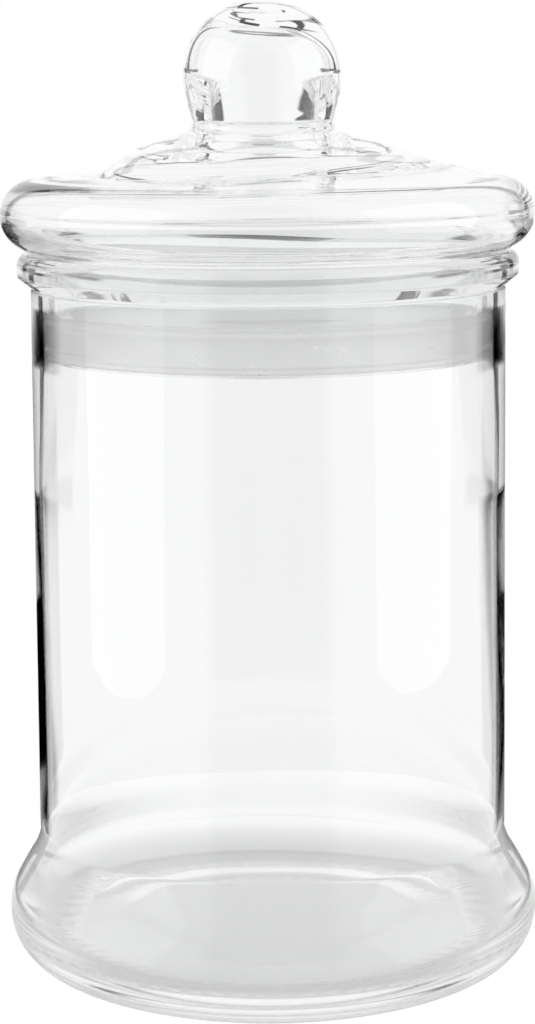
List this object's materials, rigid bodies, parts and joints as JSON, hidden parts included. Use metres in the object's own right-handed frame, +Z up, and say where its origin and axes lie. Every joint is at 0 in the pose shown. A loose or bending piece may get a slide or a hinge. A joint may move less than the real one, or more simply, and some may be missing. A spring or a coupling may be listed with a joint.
{
  "type": "herb keeper",
  "caption": "Straight-sided clear glass keeper on a flared foot, with a lift-off hollow glass lid, ball knob and translucent sealing ring.",
  "frame": {"origin": "centre of the ring that the jar stands on, at the table's level", "axes": "+Z up along the common axis of jar, ring and lid, towards the knob"},
  "size_m": [0.142, 0.142, 0.2543],
  "materials": {
    "jar_glass": "clear polished soda-lime glass",
    "lid_glass": "clear polished soda-lime glass, slightly wavy as blown",
    "seal_plastic": "soft translucent milky white, satin"
  },
  "bodies": {
    "jar": {"jar": "jar_glass"},
    "lid": {"lid": "lid_glass", "seal_ring": "seal_plastic"}
  },
  "joints": [
    {"name": "lid_lift", "type": "slide", "parent": "jar", "child": "lid", "axis": [0, 0, 1], "range_m": [0, 0.09]}
  ]
}
